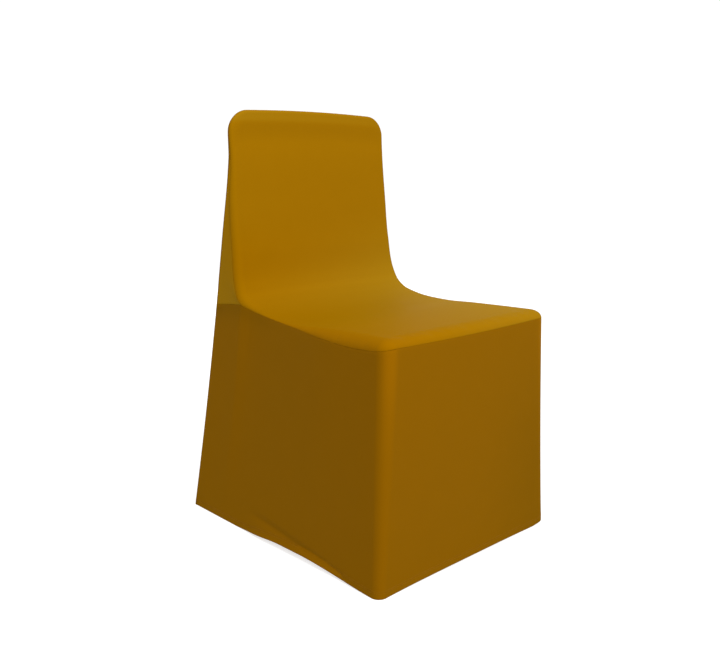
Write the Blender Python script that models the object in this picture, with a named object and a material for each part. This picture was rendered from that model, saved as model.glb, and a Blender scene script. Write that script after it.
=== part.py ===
"""Fitted stretch cover for a stacking chair, modelled as five sewn sheets of knit cloth.

The front faces -Y, +Z is up, and the floor is z = 0. The cover is hollow and open at the
bottom. Each sheet is worked out as a grid of points on the outer face of the cloth, and the
cloth's thickness is then added on the inside.
"""

import math
from collections import namedtuple

import bpy
import numpy as np

MM = 0.001

# Cloth and seams
SHEET = 1.5 * MM
SEAM_GAP = 0.75 * MM

# Top of the back: its edge is a little higher in the middle and on the left
TOP_ARCH = 5.2 * MM
TOP_TILT = 1.8 * MM
TOP_ARCH_REACH = 150 * MM
TOP_CORNER = 43 * MM
TOP_ROLL = 30 * MM
TOP_DROP = 7 * MM
REAR_TOP_ROLL = 5 * MM

# Front rim of the seat, whose seam sags in the middle
RIM_CORNER = 26 * MM
RIM_ROLL = 26 * MM
RIM_DROP = 15.5 * MM
RIM_SAG = 3.5 * MM

# Outline of the skirt on the floor
FLOOR_FRONT_Y = -286 * MM
FLOOR_FRONT_HALF = 239.5 * MM
FLOOR_REAR_HALF = 251.3 * MM
FLOOR_CORNER = 18 * MM
SKIRT_WAIST = 0.07

# Hem of the skirt: the sides lift off the floor between the feet
HEM_LIFT_SIDE = 11.5 * MM
HEM_LIFT_START_Y = 130 * MM
HEM_LIFT_REAR_Y = -70 * MM
HEM_LIFT_FRONT_Y = -120 * MM
HEM_LIFT_END_Y = -282 * MM
HEM_LIFT_FRONT = 2.5 * MM
HEM_CLEARANCE = 0.3 * MM

# A slanting crease runs along each side above the hem, and the cloth kicks out below it
CREASE_REAR_Y = 110 * MM
CREASE_FRONT_Y = -235 * MM
CREASE_REAR_HEIGHT = 46 * MM
CREASE_FRONT_HEIGHT = 20 * MM
CREASE_DEPTH = 1.8 * MM
CREASE_WIDTH = 12 * MM
HEM_KICK = 4 * MM

# Web between the front of the back and the rear panel
WEB_START = 9 * MM
WEB_HOLLOW = 1.5 * MM
WEB_REAR_Z = 448.5 * MM
WEB_FRONT_Y = 131 * MM

# Sections along the seat and back panel, from the top of the back to the front rim, in mm.
# y, z: the face between the side edges; half: half width; roll, drop: how far the side edge
# curves in from the seam and how far it falls to it; crown: how far the middle stands proud;
# depth: from this face through to the rear face, where the back is one rolled edge.
Section = namedtuple("Section", "name y z half roll drop crown depth")
FRONT_SECTIONS = [
    Section("top edge", 169.7, 835.6, 204.0, 6.0, 5.0, 0.0, 10.5),
    Section("lip", 170.4, 800.0, 204.6, 7.0, 5.5, 0.0, 13.5),
    Section("upper back", 165.5, 744.0, 204.4, 9.0, 8.0, 0.0, 19.7),
    Section("mid back", 160.4, 655.0, 210.8, 12.0, 12.0, 0.0, 0.0),
    Section("lumbar", 151.2, 565.0, 213.9, 14.0, 14.0, 0.0, 0.0),
    Section("low back", 137.2, 492.5, 218.6, 15.0, 15.0, 2.0, 0.0),
    Section("bend", 128.6, 475.0, 220.2, 15.0, 15.0, 3.0, 0.0),
    Section("bend foot", 101.0, 458.0, 213.5, 13.0, 9.0, 3.5, 0.0),
    Section("seat rear", 60.0, 446.6, 211.2, 9.0, 3.6, 2.5, 0.0),
    Section("seat dip", -25.0, 440.2, 214.5, 9.0, 3.8, 2.5, 0.0),
    Section("seat middle", -110.0, 445.4, 220.0, 24.0, 15.5, 1.5, 0.0),
    Section("seat front", -190.0, 449.1, 220.3, 26.0, 22.5, 0.5, 0.0),
    Section("front rim", -281.0, 452.1, 220.0, 26.0, 20.0, 0.0, 0.0),
]
BACK_ROWS = 3
BEND_ROW = 5
SEAT_ROW = 8

# Sections down the rear panel below the point where the webs start, in mm
REAR_SECTIONS = [
    Section("upper", 185.6, 700.0, 208.2, 6.0, 7.5, 4.0, 0.0),
    Section("middle", 196.9, 600.0, 215.0, 6.0, 7.0, 8.0, 0.0),
    Section("seat line", 220.7, 446.5, 220.4, 6.0, 7.0, 4.0, 0.0),
    Section("knee", 252.1, 220.0, 235.1, 7.0, 8.0, 2.0, 0.0),
    Section("hem", 285.7, 0.0, 251.3, 8.0, 9.0, 0.0, 0.0),
]
REAR_START_ROLL = 5.0
REAR_START_CROWN = 1.0

# Grid spacing: offsets in from an edge, in mm, then an even count to the middle
FRONT_EDGE_STEPS = [0, 0.05, 0.5, 2, 4.5, 8, 13, 20, 30]
REAR_EDGE_STEPS = [0, 0.05, 0.5, 2, 4, 7, 12, 24]
TOP_EDGE_STEPS = [0, 0.05, 0.6, 3, 7.5, 14, 22, 31, 43]
REAR_TOP_STEPS = [0, 0.05, 0.5, 2, 4, 8, 16, 28, 43]
RIM_EDGE_STEPS = [26, 20, 14, 8.5, 4, 1.2, 0.1, 0]
FRONT_MIDDLE_STEPS = 5
WEB_ROWS = 11
REAR_MIDDLE_STEPS = 4
SKIRT_HEIGHT_STEPS = 9
CORNER_STEPS = 6
RIM_STEPS = 6
HEM_STEPS = [46, 38, 30, 22, 15, 8, 0]

# Mustard gold, as linear red, green and blue
CLOTH_COLOUR = (0.370, 0.170, 0.003)
CLOTH_ROUGHNESS = 0.78


def spline(knots, values, at):
    """Smooth curve through the values at the knots, its slopes taken from the neighbours."""
    values = np.asarray(values, float)
    step = np.diff(knots)
    chord = np.diff(values) / step
    slope = np.empty_like(values)
    slope[1:-1] = (chord[:-1] * step[1:] + chord[1:] * step[:-1]) / (step[:-1] + step[1:])
    slope[0] = chord[0]
    slope[-1] = chord[-1]
    at = np.clip(at, knots[0], knots[-1])
    i = np.clip(np.searchsorted(knots, at, side="right") - 1, 0, len(knots) - 2)
    h = step[i]
    t = (at - knots[i]) / h
    start = (1 + 2 * t) * (1 - t) ** 2 * values[i] + t * (1 - t) ** 2 * h * slope[i]
    end = t * t * (3 - 2 * t) * values[i + 1] + t * t * (t - 1) * h * slope[i + 1]
    return start + end


def smooth_step(t):
    """Ease from 0 to 1 as t goes from 0 to 1."""
    t = np.clip(t, 0, 1)
    return t * t * (3 - 2 * t)


class Profile:
    """A line of sections down the middle of a panel, followed by its length."""

    def __init__(self, sections):
        self.columns = {key: np.array([getattr(s, key) for s in sections]) * MM
                        for key in ("y", "z", "half", "roll", "drop", "crown", "depth")}
        runs = np.hypot(np.diff(self.columns["y"]), np.diff(self.columns["z"]))
        self.knots = np.concatenate([[0.0], np.cumsum(runs)])
        self.length = self.knots[-1]

    def at(self, column, s):
        """A column's value at the length s."""
        return spline(self.knots, self.columns[column], s)

    def point(self, s):
        """The line's y and z at the length s."""
        return self.at("y", s), self.at("z", s)

    def normal(self, s):
        """The unit vector to the line's front or upper side, as y and z."""
        small = 0.5 * MM
        dy = self.at("y", s + small) - self.at("y", s - small)
        dz = self.at("z", s + small) - self.at("z", s - small)
        size = np.hypot(dy, dz)
        return dz / size, -dy / size


def edge_arc(distance, width):
    """Quarter ellipse at a panel's edge: 1 at the edge, 0 from the width inwards."""
    q = np.clip(1 - distance / width, 0, 1)
    return 1 - np.sqrt(1 - q * q)


def outline(x, end, half, radius):
    """How far a point of a flat panel lies in from its edge, and the end edge's share of it.

    The panel's corners are rounded with the radius. The share is 0 along the side edge, 1
    along the end edge, and turns with the angle round the corner.
    """
    px = np.abs(x) - (half - radius)
    pe = radius - end
    corner = (px > 0) & (pe > 0)
    near = np.minimum(half - np.abs(x), end)
    distance = np.where(corner, radius - np.hypot(px, pe), near)
    turn = np.arctan2(np.maximum(pe, 0), np.maximum(px, 1e-9)) * 2 / math.pi
    share = np.where(corner, turn, np.where(pe > 0, 1.0, 0.0))
    return np.maximum(distance, 0), share


def rounded(x, end, half, radius):
    """Move the square corner of a flat grid into a quarter disc of the radius."""
    px = x - (half - radius)
    pe = radius - end
    corner = (px > 0) & (pe > 0)
    disc_x = px * np.sqrt(np.maximum(0, 1 - pe ** 2 / (2 * radius ** 2)))
    disc_e = pe * np.sqrt(np.maximum(0, 1 - px ** 2 / (2 * radius ** 2)))
    return (half - radius + np.where(corner, disc_x, px), radius - np.where(corner, disc_e, pe))


def top_arch(x, s, half):
    """How much lower than the middle the top of the back is at x, fading out downwards."""
    fade = np.clip(1 - s / TOP_ARCH_REACH, 0, 1) ** 2
    return (TOP_ARCH * (x / half) ** 2 + TOP_TILT * x / half) * fade


def front_surface(front, x, s, beyond=0.0):
    """Outer face of the seat and back panel at x across and s along it.

    Each section's face carries a crown in the middle. Towards any edge the cloth falls along a
    quarter ellipse to the seam. beyond moves the point past the seam, square to the face.
    """
    half = front.at("half", s)
    rear_part = s < front.length / 2
    end = np.where(rear_part, s, front.length - s)
    radius = np.where(rear_part, TOP_CORNER, RIM_CORNER)
    distance, share = outline(x, end, half, radius)
    roll = front.at("roll", s)
    drop = front.at("drop", s)
    roll = roll + (np.where(rear_part, TOP_ROLL, RIM_ROLL) - roll) * share
    rim_drop = RIM_DROP + RIM_SAG * (1 - (x / half) ** 2)
    drop = drop + (np.where(rear_part, TOP_DROP, rim_drop) - drop) * share
    fall = drop * edge_arc(distance, roll) + beyond
    out = front.at("crown", s) * (1 - (x / half) ** 2) - fall
    along = s + top_arch(x, s, half)
    y, z = front.point(along)
    ny, nz = front.normal(along)
    return np.stack([x, y + ny * out, z + nz * out], -1)


def across(half, edge_steps, middle_steps):
    """Columns of x from an edge to the middle, one row for each half width."""
    edge = np.asarray(edge_steps) * MM
    inner = half - edge[-1]
    middle = inner * np.linspace(1, 0, middle_steps + 1)[1:]
    return np.concatenate([half - edge, middle], -1)


def both_halves(right):
    """Join a right half, whose first column is the edge, to its mirror image, from left to right."""
    left = right.copy()
    left[..., 0] *= -1
    return np.concatenate([left, right[:, :-1][:, ::-1]], 1)


def web_rows(front):
    """Lengths along the seat and back panel of the rows that meet the web."""
    start = front.knots[BACK_ROWS - 1] + WEB_START
    bend = front.knots[BEND_ROW]
    half_rows = WEB_ROWS // 2 + 1
    return np.concatenate([np.linspace(start, bend, half_rows),
                           np.linspace(bend, web_foot(front), half_rows)[1:]])


def seat_rows(front):
    """Lengths of the rows that meet the skirt's sides, from the web's foot to the rim's corner."""
    seat = front.knots[SEAT_ROW]
    corner = front.length - RIM_CORNER
    return np.concatenate([np.linspace(web_foot(front), seat, 4), np.linspace(seat, corner, 9)[1:]])


def front_panel(front):
    """Grid of the seat and back panel."""
    top = np.asarray(TOP_EDGE_STEPS) * MM
    rim = front.length - np.asarray(RIM_EDGE_STEPS) * MM
    tip = front.knots[BACK_ROWS - 1]
    s = np.concatenate([top, np.linspace(TOP_CORNER, tip, 3)[1:], web_rows(front),
                        seat_rows(front)[1:-1], rim])[:, None]
    half = front.at("half", s)
    x = across(half, FRONT_EDGE_STEPS, FRONT_MIDDLE_STEPS)
    top_x, top_s = rounded(x, s + 0 * x, half, TOP_CORNER)
    rim_x, rim_end = rounded(x, front.length - s + 0 * x, half, RIM_CORNER)
    upper = s + 0 * x < front.length / 2
    x = np.where(upper, top_x, rim_x)
    s = np.where(upper, top_s, front.length - rim_end)
    right = front_surface(front, x, s)
    left = front_surface(front, -x, s)
    return np.concatenate([left, right[:, :-1][:, ::-1]], 1)


def rear_profile(front):
    """The rear panel's sections below the webs' start, which follow on from the rolled top."""
    s = front.knots[BACK_ROWS - 1]
    y, z = front.point(s)
    ny, nz = front.normal(s)
    depth = front.at("depth", s)
    half = front.at("half", s)
    drop = depth - front.at("drop", s) - SEAM_GAP
    start = Section("web start", (y - ny * depth) / MM, (z - nz * depth) / MM, half / MM,
                    REAR_START_ROLL, drop / MM, REAR_START_CROWN, 0.0)
    return Profile([start] + REAR_SECTIONS)


def rear_top(front, x, s):
    """Outer face of the rear panel where it closes the rolled top of the back.

    It lies the back's depth behind the front face, and curves forward to the same seam.
    """
    half = front.at("half", s)
    distance, share = outline(x, s, half, TOP_CORNER)
    drop = front.at("drop", s)
    drop = drop + (TOP_DROP - drop) * share + SEAM_GAP
    depth = spline(front.knots[:BACK_ROWS], front.columns["depth"][:BACK_ROWS], s)
    crown = REAR_START_CROWN * MM * (1 - (x / half) ** 2) * s / front.knots[BACK_ROWS - 1]
    arc = edge_arc(distance, REAR_TOP_ROLL)
    back = depth + (drop - depth) * arc + crown * (1 - arc)
    along = s + top_arch(x, s, half)
    y, z = front.point(along)
    ny, nz = front.normal(along)
    return np.stack([x, y - ny * back, z - nz * back], -1)


def rear_surface(rear, x, r, before=0.0):
    """Outer face of the rear panel below the webs' start, at x across and r down it.

    before moves the point forward past the seam.
    """
    half = rear.at("half", r)
    y, z = rear.point(r)
    ny, nz = rear.normal(r)
    fall = rear.at("drop", r) * edge_arc(half - np.abs(x), rear.at("roll", r)) + before
    out = rear.at("crown", r) * (1 - (x / half) ** 2) - fall
    return np.stack([x, y - ny * out, z - nz * out], -1)


def rear_panel(front, rear):
    """Grid of the rear panel, from the top of the back to the floor."""
    tip = front.knots[BACK_ROWS - 1]
    s = np.concatenate([np.asarray(REAR_TOP_STEPS) * MM, np.linspace(TOP_CORNER, tip, 3)[1:]])[:, None]
    half = front.at("half", s)
    x = across(half, REAR_EDGE_STEPS, REAR_MIDDLE_STEPS)
    x, s = rounded(x, s + 0 * x, half, TOP_CORNER)
    upper = np.concatenate([rear_top(front, x, s), rear_top(front, -x, s)[:, :-1][:, ::-1]], 1)
    meeting = rear_web_rows(rear)
    r = np.concatenate([meeting, np.linspace(meeting[-1], rear.length, 9)[1:]])[:, None]
    x = across(rear.at("half", r), REAR_EDGE_STEPS, REAR_MIDDLE_STEPS)
    right = rear_surface(rear, x, r + 0 * x)
    mirrored = right[:, :-1][:, ::-1].copy()
    mirrored[..., 0] *= -1
    grid = np.concatenate([upper, np.concatenate([right, mirrored], 1)])
    grid[-1, :, 2] = HEM_CLEARANCE
    return grid


def rear_edge_at(rear, z, before):
    """Point of the rear panel's right edge at each height z."""
    r = np.linspace(0, rear.length, 400)
    edge = rear_surface(rear, rear.at("half", r), r, before)
    x = np.interp(-z, -edge[:, 2], edge[:, 0])
    y = np.interp(-z, -edge[:, 2], edge[:, 1])
    return np.stack([x, y, z], -1)


def web_foot(front):
    """Length along the seat and back panel where the web's front edge ends."""
    s = np.linspace(front.knots[BEND_ROW - 1], front.knots[SEAT_ROW], 300)
    edge = front_surface(front, front.at("half", s), s)
    return s[np.argmin(np.abs(edge[:, 1] - WEB_FRONT_Y))]


def rear_web_rows(rear):
    """Lengths down the rear panel of the rows that meet the web."""
    r = np.linspace(0, rear.length, 400)
    edge = rear_surface(rear, rear.at("half", r), r)
    foot = np.interp(-WEB_REAR_Z, -edge[:, 2], r)
    return np.linspace(WEB_START, foot, WEB_ROWS)


def right_web(front, rear):
    """Grid of the right web: from the front edge to the rear edge, from the top down."""
    s = web_rows(front)
    near = front_surface(front, front.at("half", s), s, SEAM_GAP)
    r = rear_web_rows(rear)
    far = rear_surface(rear, rear.at("half", r), r, SEAM_GAP)
    t = np.linspace(0, 1, 5)[None, :, None]
    grid = near[:, None] * (1 - t) + far[:, None] * t
    open_share = np.linspace(0, 1, WEB_ROWS)[:, None]
    grid[..., 0] -= WEB_HOLLOW * np.sin(math.pi * t[..., 0]) * open_share
    return grid


def skirt_top(front, rear):
    """The skirt's upper edge from the right rear corner round to the middle of the front."""
    foot = web_foot(front)
    corner = front.length - RIM_CORNER
    rear_corner = rear_edge_at(rear, np.array([WEB_REAR_Z]), SEAM_GAP)
    web_end = front_surface(front, front.at("half", foot), foot)[None]
    web_run = rear_corner + (web_end - rear_corner) * np.linspace(0, 1, 4)[:, None]
    s = seat_rows(front)[1:]
    side = front_surface(front, front.at("half", s), s)
    turn = np.linspace(0, math.pi / 2, CORNER_STEPS + 1)[1:]
    s = corner + RIM_CORNER * np.sin(turn)
    bend = front_surface(front, front.at("half", s) - RIM_CORNER * (1 - np.cos(turn)), s)
    x = bend[-1, 0] * np.linspace(1, 0, RIM_STEPS + 1)[1:]
    rim = front_surface(front, x, np.full_like(x, front.length))
    edge = np.concatenate([web_run, side, bend, rim])
    edge[:, 2] -= SEAM_GAP
    return edge, len(web_run) + len(side), turn


def skirt_floor(rear, side_top, turn):
    """The skirt's outline on the floor, point for point below its upper edge."""
    runs = np.linalg.norm(np.diff(side_top, axis=0), axis=1)
    share = np.concatenate([[0.0], np.cumsum(runs)]) / runs.sum()
    rear_y = rear_edge_at(rear, np.array([0.0]), SEAM_GAP)[0, 1]
    front_y = FLOOR_FRONT_Y + FLOOR_CORNER
    y = rear_y + (front_y - rear_y) * share
    x = FLOOR_REAR_HALF + (FLOOR_FRONT_HALF - FLOOR_REAR_HALF) * share
    side = np.stack([x, y], -1)
    centre_x = FLOOR_FRONT_HALF - FLOOR_CORNER
    bend = np.stack([centre_x + FLOOR_CORNER * np.cos(turn), front_y - FLOOR_CORNER * np.sin(turn)], -1)
    x = centre_x * np.linspace(1, 0, RIM_STEPS + 1)[1:]
    front = np.stack([x, np.full_like(x, FLOOR_FRONT_Y)], -1)
    return np.concatenate([side, bend, front])


def hem_lift(floor, corner_start):
    """Height of the hem above the floor at each point of the skirt's outline."""
    y = floor[:, 1]
    rise = smooth_step((HEM_LIFT_START_Y - y) / (HEM_LIFT_START_Y - HEM_LIFT_REAR_Y))
    fall = smooth_step((y - HEM_LIFT_END_Y) / (HEM_LIFT_FRONT_Y - HEM_LIFT_END_Y))
    side = HEM_LIFT_SIDE * rise * fall
    across_front = HEM_LIFT_FRONT * np.maximum(1 - (floor[:, 0] / floor[corner_start, 0]) ** 4, 0)
    return HEM_CLEARANCE + np.where(np.arange(len(y)) >= corner_start, across_front, side)


def hem_kick(height, y):
    """How far the side of the skirt stands out at a height above its hem.

    A soft trough follows the slanting crease, and the cloth below it leans out to the hem. Both
    fade out towards the feet.
    """
    run = np.clip((y - CREASE_FRONT_Y) / (CREASE_REAR_Y - CREASE_FRONT_Y), 0, 1)
    crease = CREASE_FRONT_HEIGHT + (CREASE_REAR_HEIGHT - CREASE_FRONT_HEIGHT) * run
    fade = smooth_step(4 * run) * smooth_step(4 * (1 - run))
    trough = CREASE_DEPTH * np.exp(-((height - crease) / CREASE_WIDTH) ** 2)
    kick = HEM_KICK * np.clip(1 - height / crease, 0, 1) ** 2
    return (kick - trough) * fade


def skirt_panel(front, rear):
    """Grid of the skirt, from the left rear corner round the front to the right rear corner."""
    top, side_count, turn = skirt_top(front, rear)
    floor = skirt_floor(rear, top[:side_count], turn)
    corner_end = side_count + len(turn) - 1
    lift = hem_lift(floor, corner_end)
    tall = top[:, 2] - lift
    above = tall - HEM_STEPS[0] * MM
    upper = lift + HEM_STEPS[0] * MM + above * np.linspace(1, 0, SKIRT_HEIGHT_STEPS)[:-1, None]
    lower = lift + np.asarray(HEM_STEPS)[:, None] * MM
    z = np.concatenate([upper, lower])
    t = (top[:, 2] - z) / tall
    flare = (t - SKIRT_WAIST * np.sin(math.pi * t))[..., None]
    plan = top[:, :2] + (floor - top[:, :2]) * flare
    side = np.arange(len(top)) < side_count
    plan[..., 0] += np.where(side, hem_kick(z - lift, floor[:, 1]), 0)
    rear_column = rear_edge_at(rear, z[:, 0], SEAM_GAP)
    plan[:, 0] = rear_column[:, :2]
    right = np.concatenate([plan, z[..., None]], -1)
    return both_halves(right)


def make_sheet(name, grid):
    """Mesh object of a grid, seen from outside with rows going down and columns to the right."""
    rows, columns = grid.shape[:2]
    index = np.arange(rows * columns).reshape(rows, columns)
    quads = np.stack([index[:-1, :-1], index[1:, :-1], index[1:, 1:], index[:-1, 1:]], -1)
    mesh = bpy.data.meshes.new(name)
    mesh.from_pydata(grid.reshape(-1, 3).tolist(), [], quads.reshape(-1, 4).tolist())
    mesh.shade_smooth()
    mesh.materials.append(make_cloth(name))
    sheet = bpy.data.objects.new(name, mesh)
    bpy.context.collection.objects.link(sheet)
    thickness = sheet.modifiers.new("Cloth thickness", "SOLIDIFY")
    thickness.thickness = SHEET
    thickness.offset = -1
    return sheet


def make_cloth(name):
    """Matte stretch knit of one panel."""
    cloth = bpy.data.materials.new(name + "_knit")
    cloth.use_nodes = True
    shader = cloth.node_tree.nodes["Principled BSDF"]
    shader.inputs["Base Color"].default_value = (*CLOTH_COLOUR, 1)
    shader.inputs["Roughness"].default_value = CLOTH_ROUGHNESS
    shader.inputs["Metallic"].default_value = 0.0
    return cloth


def build_cover():
    """Remove what the scene holds and build the five panels of the cover."""
    for old in list(bpy.data.objects):
        bpy.data.objects.remove(old)
    front = Profile(FRONT_SECTIONS)
    rear = rear_profile(front)
    web = right_web(front, rear)
    left = web[:, ::-1].copy()
    left[..., 0] *= -1
    make_sheet("seat_back_panel", front_panel(front))
    make_sheet("rear_panel", rear_panel(front, rear))
    make_sheet("web_left", left)
    make_sheet("web_right", web)
    make_sheet("skirt", skirt_panel(front, rear))


build_cover()
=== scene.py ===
"""Dressed model of a fitted elastic cover: five panels of mustard-gold knit sewn edge to edge.

The front faces -Y, +Z is up and the floor is z = 0. Every panel is a surface worked out with
numpy on a grid of rows, which go down, and columns, which go to the right, as it is seen from
outside. The cloth turns in at each seam and is folded under at the hem.
"""

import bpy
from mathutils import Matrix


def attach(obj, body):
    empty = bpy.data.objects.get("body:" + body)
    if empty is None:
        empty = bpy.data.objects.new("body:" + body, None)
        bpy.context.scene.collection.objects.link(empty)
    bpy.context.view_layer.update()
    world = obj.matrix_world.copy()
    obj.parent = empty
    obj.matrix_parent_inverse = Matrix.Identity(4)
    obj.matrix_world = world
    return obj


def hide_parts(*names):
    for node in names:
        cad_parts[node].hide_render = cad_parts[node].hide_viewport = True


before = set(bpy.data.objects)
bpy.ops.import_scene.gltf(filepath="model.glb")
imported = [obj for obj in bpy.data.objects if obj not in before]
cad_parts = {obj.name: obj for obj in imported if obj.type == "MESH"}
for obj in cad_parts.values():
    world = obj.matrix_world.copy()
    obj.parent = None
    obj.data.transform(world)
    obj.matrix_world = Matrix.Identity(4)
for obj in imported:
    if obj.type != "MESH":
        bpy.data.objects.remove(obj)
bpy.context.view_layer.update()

import logging
import math
from dataclasses import dataclass, field
from enum import Enum

import bpy
import numpy as np
from mathutils import Matrix, Vector

MM = 0.001
NEAR_ZERO = 1e-9
LOG = logging.getLogger("chair_cover")


class Side(Enum):
    """Side of the cover, with the sign of its x."""

    LEFT = -1
    RIGHT = 1


@dataclass(frozen=True)
class Section:
    """One section across a panel, in millimetres.

    y and z place the face between the side edges. half is the half width. roll and drop say how
    far the side edge curves in from the seam and falls to it. crown is how far the middle stands
    proud, and depth is how far the rear face lies behind this one.
    """

    name: str
    y: float
    z: float
    half: float
    roll: float
    drop: float
    crown: float
    depth: float


FRONT_SECTIONS = (
    Section("top edge", 169.7, 835.6, 204.0, 6.0, 5.0, 0.0, 10.5),
    Section("lip", 170.4, 800.0, 204.6, 7.0, 5.5, 0.0, 13.5),
    Section("upper back", 165.5, 744.0, 204.4, 9.0, 8.0, 0.0, 19.7),
    Section("mid back", 160.4, 655.0, 210.8, 12.0, 12.0, 0.0, 0.0),
    Section("lumbar", 151.2, 565.0, 213.9, 14.0, 14.0, 0.0, 0.0),
    Section("low back", 137.2, 492.5, 218.6, 15.0, 15.0, 2.0, 0.0),
    Section("bend", 128.6, 475.0, 220.2, 15.0, 15.0, 3.0, 0.0),
    Section("bend foot", 101.0, 458.0, 213.5, 13.0, 9.0, 3.5, 0.0),
    Section("seat rear", 60.0, 446.6, 211.2, 9.0, 3.6, 2.5, 0.0),
    Section("seat dip", -25.0, 440.2, 214.5, 9.0, 3.8, 2.5, 0.0),
    Section("seat middle", -110.0, 445.4, 220.0, 24.0, 15.5, 1.5, 0.0),
    Section("seat front", -190.0, 449.1, 220.3, 26.0, 22.5, 0.5, 0.0),
    Section("front rim", -281.0, 452.1, 220.0, 26.0, 20.0, 0.0, 0.0),
)
REAR_SECTIONS = (
    Section("upper", 185.6, 700.0, 208.2, 6.0, 7.5, 4.0, 0.0),
    Section("middle", 196.9, 600.0, 215.0, 6.0, 7.0, 8.0, 0.0),
    Section("seat line", 220.7, 446.5, 220.4, 6.0, 7.0, 4.0, 0.0),
    Section("knee", 252.1, 220.0, 235.1, 7.0, 8.0, 2.0, 0.0),
    Section("hem", 285.7, 0.0, 251.3, 8.0, 9.0, 0.0, 0.0),
)
# Grid rows from the top of a folded hem to the floor
HEM_ROWS = 8
# Front sections in the rolled top, and the numbers of the low back and of the seat rear
BACK_ROWS = 3
BEND_ROW = 5
SEAT_ROW = 8
# Puckers beside a seam: their full height, reach and shape, and their waves in mm
PUCKER_HEIGHT = 1 * MM
PUCKER_REACH = 4.5 * MM
PUCKER_POWER = 1.5
PUCKER_WAVES = (9.5, 14.2, 23.0)
STRENGTH_WAVES = (170, 73)
STRENGTH_MEAN = 0.6
# Gathered cloth at the side seam near the front left corner: its middle and its half length
GATHER_Y = -175 * MM
GATHER_LENGTH = 50 * MM


def spline(knots: np.ndarray, values: np.ndarray, at: np.ndarray) -> np.ndarray:
    """Cubic through the values at the knots, with each knot's slope taken from its neighbours.

    Args:
        knots: Rising positions.
        values: One value for each knot.
        at: Positions to read.

    Returns:
        The value at each position.
    """
    step = np.diff(knots)
    chord = np.diff(values) / step
    slope = np.empty_like(values)
    slope[1:-1] = (chord[:-1] * step[1:] + chord[1:] * step[:-1]) / (step[:-1] + step[1:])
    slope[0] = chord[0]
    slope[-1] = chord[-1]
    at = np.clip(at, knots[0], knots[-1])
    i = np.clip(np.searchsorted(knots, at, side="right") - 1, 0, len(knots) - 2)
    h = step[i]
    t = (at - knots[i]) / h
    start = (1 + 2 * t) * (1 - t) ** 2 * values[i] + t * (1 - t) ** 2 * h * slope[i]
    end = t * t * (3 - 2 * t) * values[i + 1] + t * t * (t - 1) * h * slope[i + 1]
    return start + end


def smooth_step(t: np.ndarray) -> np.ndarray:
    """Ease from 0 to 1 as t goes from 0 to 1: 3t squared less 2t cubed."""
    t = np.clip(t, 0, 1)
    return t * t * (3 - 2 * t)


def bell(t: np.ndarray) -> np.ndarray:
    """Bell curve: 1 where t is 0, falling as e to the minus t squared."""
    return np.exp(-t * t)


def unit(vectors: np.ndarray) -> np.ndarray:
    """Vectors along the last axis, each divided by its length."""
    return vectors / np.maximum(np.linalg.norm(vectors, axis=-1, keepdims=True), NEAR_ZERO)


def edge_arc(distance: np.ndarray, width: np.ndarray) -> np.ndarray:
    """Quarter ellipse at a panel's edge: 1 at the edge, 0 from the width inwards."""
    q = np.clip(1 - distance / width, 0, 1)
    return 1 - np.sqrt(1 - q * q)


def outline(x: np.ndarray, end: np.ndarray, half: np.ndarray, radius: np.ndarray) -> tuple:
    """Place of a flat panel's point against its outline, whose corners are quarter circles.

    Args:
        x: Distance across from the middle.
        end: Distance in from the end edge.
        half: Half width of the panel.
        radius: Radius of the corners.

    Returns:
        The distance in from the outline; the end edge's share, 0 on the side and 1 on the end,
        which turns with the angle round the corner; and the way out, as its x and end parts.
    """
    px = np.abs(x) - (half - radius)
    pe = radius - end
    corner = (px > 0) & (pe > 0)
    near = np.minimum(half - np.abs(x), end)
    reach = np.hypot(px, pe)
    distance = np.where(corner, radius - reach, near)
    turn = np.arctan2(np.maximum(pe, 0), np.maximum(px, NEAR_ZERO)) * 2 / math.pi
    share = np.where(corner, turn, np.where(pe > 0, 1.0, 0.0))
    out_x = np.sign(x) * np.cos(share * math.pi / 2)
    out_end = np.sin(share * math.pi / 2)
    return np.maximum(distance, 0), share, out_x, out_end


def rounded(x: np.ndarray, end: np.ndarray, half: np.ndarray, radius: float) -> tuple:
    """Move the square corner of a flat grid into a quarter disc.

    Each of the two distances from the corner's centre is multiplied by the root of 1 less half
    the square of the other one.

    Args:
        x: Distance across from the middle, not negative.
        end: Distance in from the end edge.
        half: Half width of the panel.
        radius: Radius of the corner.

    Returns:
        The moved x and end.
    """
    px = x - (half - radius)
    pe = radius - end
    corner = (px > 0) & (pe > 0)
    disc_x = px * np.sqrt(np.maximum(0, 1 - pe ** 2 / (2 * radius ** 2)))
    disc_e = pe * np.sqrt(np.maximum(0, 1 - px ** 2 / (2 * radius ** 2)))
    return half - radius + np.where(corner, disc_x, px), radius - np.where(corner, disc_e, pe)


def columns(half: np.ndarray, edge_steps: tuple, step: float) -> np.ndarray:
    """Places of columns from the right edge to the middle, one row for each half width.

    Args:
        half: Half widths, as a column.
        edge_steps: Distances in from the edge, in mm, close together where the cloth rolls.
        step: Rough distance between the columns past those.

    Returns:
        The x of each column.
    """
    edge = np.asarray(edge_steps) * MM
    inner = half - edge[-1]
    count = math.ceil(float(np.max(inner)) / step)
    return np.concatenate([half - edge, inner * np.linspace(1, 0, count + 1)[1:]], -1)


def spaced(start: float, end: float, step: float) -> np.ndarray:
    """Evenly spaced values from start to end, about a step apart."""
    return np.linspace(start, end, max(2, math.ceil(abs(end - start) / step) + 1))


def joined(parts: list) -> np.ndarray:
    """Lists of row places one after the other, where each starts on the last one's end."""
    return np.concatenate([parts[0]] + [part[1:] for part in parts[1:]])


def both_halves(right: np.ndarray) -> np.ndarray:
    """Join a right half, whose first column is the edge, to its mirror image.

    Args:
        right: The right half, as points or directions.

    Returns:
        The columns from the left edge to the right edge.
    """
    left = right.copy()
    left[..., 0] *= -1
    return np.concatenate([left, right[:, :-1][:, ::-1]], 1)


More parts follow.
